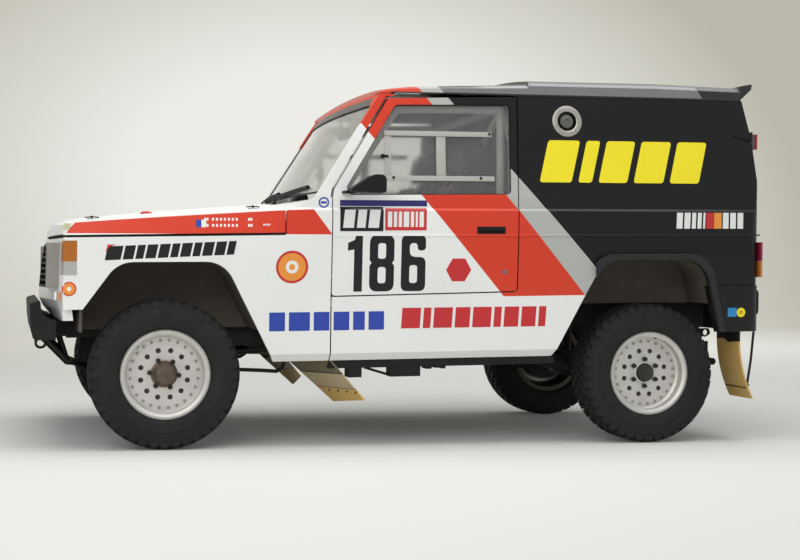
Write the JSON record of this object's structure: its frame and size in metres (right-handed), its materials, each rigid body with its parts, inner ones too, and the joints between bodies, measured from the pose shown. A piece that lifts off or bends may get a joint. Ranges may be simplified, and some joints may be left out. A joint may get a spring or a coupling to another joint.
{
  "type": "three-door off-road rally car",
  "caption": "Short off-road rally car with opening doors, bonnet and side-hinged tailgate, steered front wheels and a caged two-seat cabin",
  "frame": {"origin": "on the ground, midway between the axles and midway across the car", "axes": "front towards -X, left side towards -Y, up +Z"},
  "size_m": [3.5478, 1.976, 1.806],
  "materials": {
    "chassis_black": "satin black chassis paint",
    "engine_iron": "bare cast metal",
    "spring_steel": "dark spring steel",
    "exhaust_steel": "heat-dulled steel",
    "tank_alloy": "bare sheet alloy",
    "cabin_paint": "white cabin paint",
    "body_white": "gloss white paint",
    "body_livery": "gloss white, red, grey and black stripes",
    "body_black": "gloss black paint",
    "liner_black": "underseal on the arch liners",
    "black_trim": "matt black",
    "lamp_glass": "clear, amber and red lamp lenses",
    "clear_glass": "clear glass",
    "flap_rubber": "tan sheet",
    "cage_white": "white tube paint",
    "seat_cloth": "dark woven seat cloth",
    "wheel_alloy": "cast alloy, machined lip",
    "tyre_rubber": "black tyre rubber",
    "hub_iron": "dark cast iron"
  },
  "bodies": {
    "root": {"frame": "chassis_black", "engine_block": "engine_iron", "driveline": "engine_iron", "front_axle": "chassis_black", "rear_axle": "chassis_black", "rear_springs": "spring_steel", "exhaust": "exhaust_steel", "fuel_tank": "tank_alloy", "floor_pan": "cabin_paint", "arch_liners": "liner_black", "scuttle": "body_white", "body_sides": "body_livery", "front_wings": "body_livery", "front_panel": "body_white", "grille": "black_trim", "lamps": "lamp_glass", "windscreen_frame": "body_livery", "windscreen": "clear_glass", "roof": "body_livery", "rear_bumper": "body_black", "arch_flares": "black_trim", "mud_flaps": "flap_rubber", "bull_bar": "black_trim", "roll_cage": "cage_white", "seats": "seat_cloth", "dashboard": "black_trim"},
    "door_left": {"door_left": "body_livery", "door_glass_left": "clear_glass", "door_fittings_left": "black_trim"},
    "door_right": {"door_right": "body_livery", "door_glass_right": "clear_glass", "door_fittings_right": "black_trim"},
    "bonnet": {"bonnet": "body_livery"},
    "tailgate": {"tailgate": "body_black", "tailgate_glass": "clear_glass"},
    "steering_wheel": {"steering_wheel": "black_trim"},
    "knuckle_left": {"knuckle_left": "hub_iron"},
    "knuckle_right": {"knuckle_right": "hub_iron"},
    "wheel_front_left": {"rim_front_left": "wheel_alloy", "tyre_front_left": "tyre_rubber"},
    "wheel_front_right": {"rim_front_right": "wheel_alloy", "tyre_front_right": "tyre_rubber"},
    "wheel_rear_left": {"rim_rear_left": "wheel_alloy", "tyre_rear_left": "tyre_rubber"},
    "wheel_rear_right": {"rim_rear_right": "wheel_alloy", "tyre_rear_right": "tyre_rubber"}
  },
  "joints": [
    {"name": "door_left_hinge", "type": "hinge", "parent": "root", "child": "door_left", "pos_m": [-0.404, -0.834, 0.9], "axis": [0, 0, 1], "range_deg": [-68, 0]},
    {"name": "door_right_hinge", "type": "hinge", "parent": "root", "child": "door_right", "pos_m": [-0.404, 0.834, 0.9], "axis": [0, 0, 1], "range_deg": [0, 68]},
    {"name": "bonnet_hinge", "type": "hinge", "parent": "root", "child": "bonnet", "pos_m": [-0.62, 0, 1.158], "axis": [0, 1, 0], "range_deg": [0, 55]},
    {"name": "tailgate_hinge", "type": "hinge", "parent": "root", "child": "tailgate", "pos_m": [1.758, 0.606, 1.2], "axis": [0, 0, 1], "range_deg": [0, 90]},
    {"name": "steering", "type": "hinge", "parent": "root", "child": "steering_wheel", "pos_m": [-0.24, -0.36, 1.0672], "axis": [0.9099, 0, 0.4149], "range_deg": [-420, 420]},
    {"name": "kingpin_left", "type": "hinge", "parent": "root", "child": "knuckle_left", "pos_m": [-1.175, -0.64, 0.34], "axis": [0, 0, 1], "range_deg": [-28, 28]},
    {"name": "kingpin_right", "type": "hinge", "parent": "root", "child": "knuckle_right", "pos_m": [-1.175, 0.64, 0.34], "axis": [0, 0, 1], "range_deg": [-28, 28]},
    {"name": "roll_front_left", "type": "hinge", "parent": "knuckle_left", "child": "wheel_front_left", "pos_m": [-1.175, -0.72, 0.34], "axis": [0, 1, 0], "continuous": true},
    {"name": "roll_front_right", "type": "hinge", "parent": "knuckle_right", "child": "wheel_front_right", "pos_m": [-1.175, 0.72, 0.34], "axis": [0, 1, 0], "continuous": true},
    {"name": "roll_rear_left", "type": "hinge", "parent": "root", "child": "wheel_rear_left", "pos_m": [1.175, -0.72, 0.34], "axis": [0, 1, 0], "continuous": true},
    {"name": "roll_rear_right", "type": "hinge", "parent": "root", "child": "wheel_rear_right", "pos_m": [1.175, 0.72, 0.34], "axis": [0, 1, 0], "continuous": true}
  ],
  "couplings": [
    {"joint": "kingpin_left", "follows": "steering", "ratio": 0.066667},
    {"joint": "kingpin_right", "follows": "steering", "ratio": 0.066667}
  ]
}
